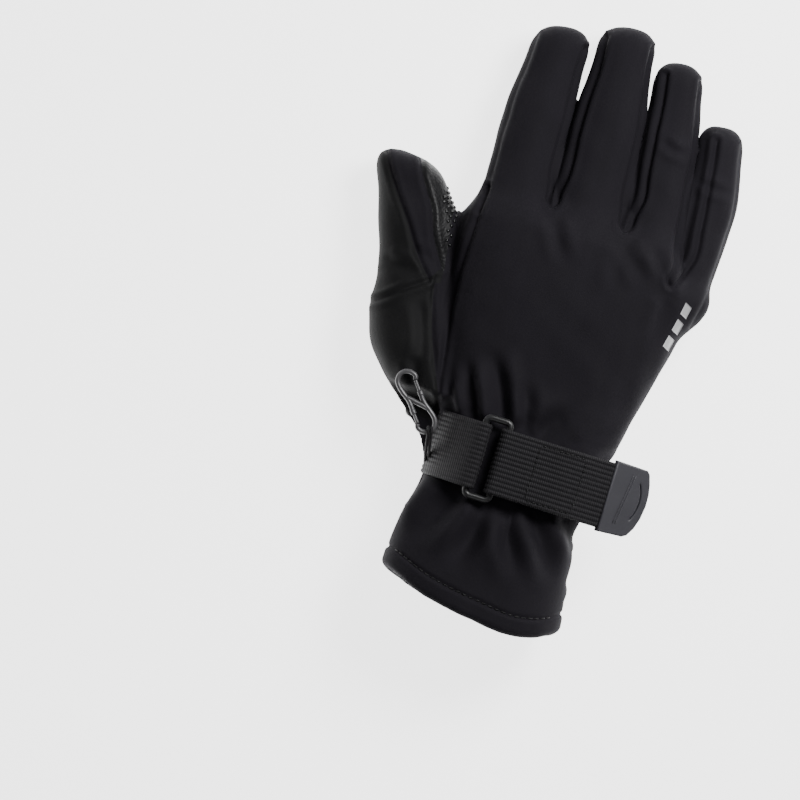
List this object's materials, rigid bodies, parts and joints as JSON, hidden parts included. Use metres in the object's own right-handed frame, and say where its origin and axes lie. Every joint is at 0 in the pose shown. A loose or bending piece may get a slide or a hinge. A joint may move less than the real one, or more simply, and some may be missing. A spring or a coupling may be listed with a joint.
{
  "type": "ski glove",
  "caption": "Padded ski glove for the right hand with jointed fingers, leather palm, gathered cuff, wrist strap through a ring, and a snap hook.",
  "frame": {"origin": "centre of the bounding box in plan, on the ground under the palm", "axes": "+Y from the cuff to the fingertips, +Z out of the back of the hand, +X towards the little finger; the glove lies palm down"},
  "size_m": [0.1576, 0.2804, 0.0539],
  "materials": {
    "softshell": "matt stretch softshell",
    "suede": "matt synthetic suede",
    "leather": "soft gloss pebble grain",
    "padding": "lofted fibre wadding",
    "fleece": "brushed fleece",
    "elastic": "woven elastic",
    "webbing": "ribbed woven nylon",
    "fastener": "hook and loop tape",
    "ring_plastic": "satin moulded",
    "hook_plastic": "moulded",
    "tab_rubber": "moulded matt",
    "grip_silicone": "gloss printed silicone"
  },
  "bodies": {
    "hand": {"back_panel": "softshell", "thumb_side_panel": "suede", "palm_patch": "leather", "thumb_leather": "leather", "palm_heel_panel": "softshell", "cuff_panel": "softshell", "hem_band": "softshell", "back_insulation": "padding", "palm_insulation": "padding", "hand_lining": "fleece", "cuff_elastic_1": "elastic", "cuff_elastic_2": "elastic", "cuff_elastic_3": "elastic", "anchor_webbing": "webbing", "wrist_ring": "ring_plastic", "under_webbing": "webbing", "loop_patch": "fastener", "hanger_loop": "webbing"},
    "index_base": {"index_base_shell": "softshell", "index_base_lining": "fleece"},
    "index_tip": {"index_tip_shell": "softshell", "index_tip_lining": "fleece", "index_grip": "grip_silicone"},
    "middle_base": {"middle_base_shell": "softshell", "middle_base_lining": "fleece"},
    "middle_tip": {"middle_tip_shell": "softshell", "middle_tip_lining": "fleece", "middle_grip": "grip_silicone"},
    "ring_base": {"ring_base_shell": "softshell", "ring_base_lining": "fleece"},
    "ring_tip": {"ring_tip_shell": "softshell", "ring_tip_lining": "fleece", "ring_grip": "grip_silicone"},
    "little_base": {"little_base_shell": "softshell", "little_base_lining": "fleece"},
    "little_tip": {"little_tip_shell": "softshell", "little_tip_lining": "fleece", "little_grip": "grip_silicone"},
    "thumb_base": {"thumb_base_shell": "suede", "thumb_base_lining": "fleece"},
    "thumb_tip": {"thumb_tip_shell": "suede", "thumb_tip_lining": "fleece", "thumb_grip": "grip_silicone"},
    "strap_tail": {"tail_webbing": "webbing", "hook_patch": "fastener", "pull_tab": "tab_rubber"},
    "snap_hook": {"snap_hook_frame": "hook_plastic"},
    "lower_gate": {"snap_hook_gate_lower": "hook_plastic"},
    "upper_gate": {"snap_hook_gate_upper": "hook_plastic"}
  },
  "joints": [
    {"name": "index_knuckle_bend", "type": "hinge", "parent": "hand", "child": "index_base", "pos_m": [-0.01765, 0.04861, 0.01764], "axis": [-0.9983, -0.0577, 0], "range_deg": [0, 60]},
    {"name": "index_middle_bend", "type": "hinge", "parent": "index_base", "child": "index_tip", "pos_m": [-0.01794, 0.08304, 0.01283], "axis": [-0.9999, 0.0114, 0], "range_deg": [0, 65]},
    {"name": "middle_knuckle_bend", "type": "hinge", "parent": "hand", "child": "middle_base", "pos_m": [0.01555, 0.04961, 0.01802], "axis": [-1, -0.0056, 0], "range_deg": [0, 60]},
    {"name": "middle_middle_bend", "type": "hinge", "parent": "middle_base", "child": "middle_tip", "pos_m": [0.01483, 0.09393, 0.01258], "axis": [-0.9996, -0.028, 0], "range_deg": [0, 65]},
    {"name": "ring_knuckle_bend", "type": "hinge", "parent": "hand", "child": "ring_base", "pos_m": [0.04585, 0.04861, 0.01764], "axis": [-0.9994, -0.0334, 0], "range_deg": [0, 60]},
    {"name": "ring_middle_bend", "type": "hinge", "parent": "ring_base", "child": "ring_tip", "pos_m": [0.04312, 0.08688, 0.01235], "axis": [-0.9967, -0.0806, 0], "range_deg": [0, 65]},
    {"name": "little_knuckle_bend", "type": "hinge", "parent": "hand", "child": "little_base", "pos_m": [0.06955, 0.03461, 0.01658], "axis": [-0.984, 0.178, 0], "range_deg": [0, 60]},
    {"name": "little_middle_bend", "type": "hinge", "parent": "little_base", "child": "little_tip", "pos_m": [0.06968, 0.06583, 0.01187], "axis": [-0.9993, -0.0377, 0], "range_deg": [0, 65]},
    {"name": "thumb_knuckle_bend", "type": "hinge", "parent": "hand", "child": "thumb_base", "pos_m": [-0.05275, 0.00061, 0.01345], "axis": [-0.9505, -0.3106, 0], "range_deg": [0, 35]},
    {"name": "thumb_middle_bend", "type": "hinge", "parent": "thumb_base", "child": "thumb_tip", "pos_m": [-0.0585, 0.03194, 0.01289], "axis": [-0.965, -0.2623, 0], "range_deg": [0, 55]},
    {"name": "strap_peel", "type": "hinge", "parent": "hand", "child": "strap_tail", "pos_m": [0.00576, -0.06372, 0.0499], "axis": [-0.0401, -0.9992, 0], "range_deg": [0, 140]},
    {"name": "hook_swing", "type": "hinge", "parent": "hand", "child": "snap_hook", "pos_m": [-0.02945, -0.05789, 0.0405], "axis": [0.809, 0.5878, 0], "range_deg": [0, 90]},
    {"name": "lower_gate_press", "type": "hinge", "parent": "snap_hook", "child": "lower_gate", "pos_m": [-0.03905, -0.05201, 0.0405], "axis": [0, 0, 1], "range_deg": [0, 12], "stiffness_Nm_per_rad": 0.01, "springref_deg": -5.73},
    {"name": "upper_gate_press", "type": "hinge", "parent": "snap_hook", "child": "upper_gate", "pos_m": [-0.03608, -0.04145, 0.0405], "axis": [0, 0, 1], "range_deg": [0, 22], "stiffness_Nm_per_rad": 0.01, "springref_deg": -5.73}
  ]
}
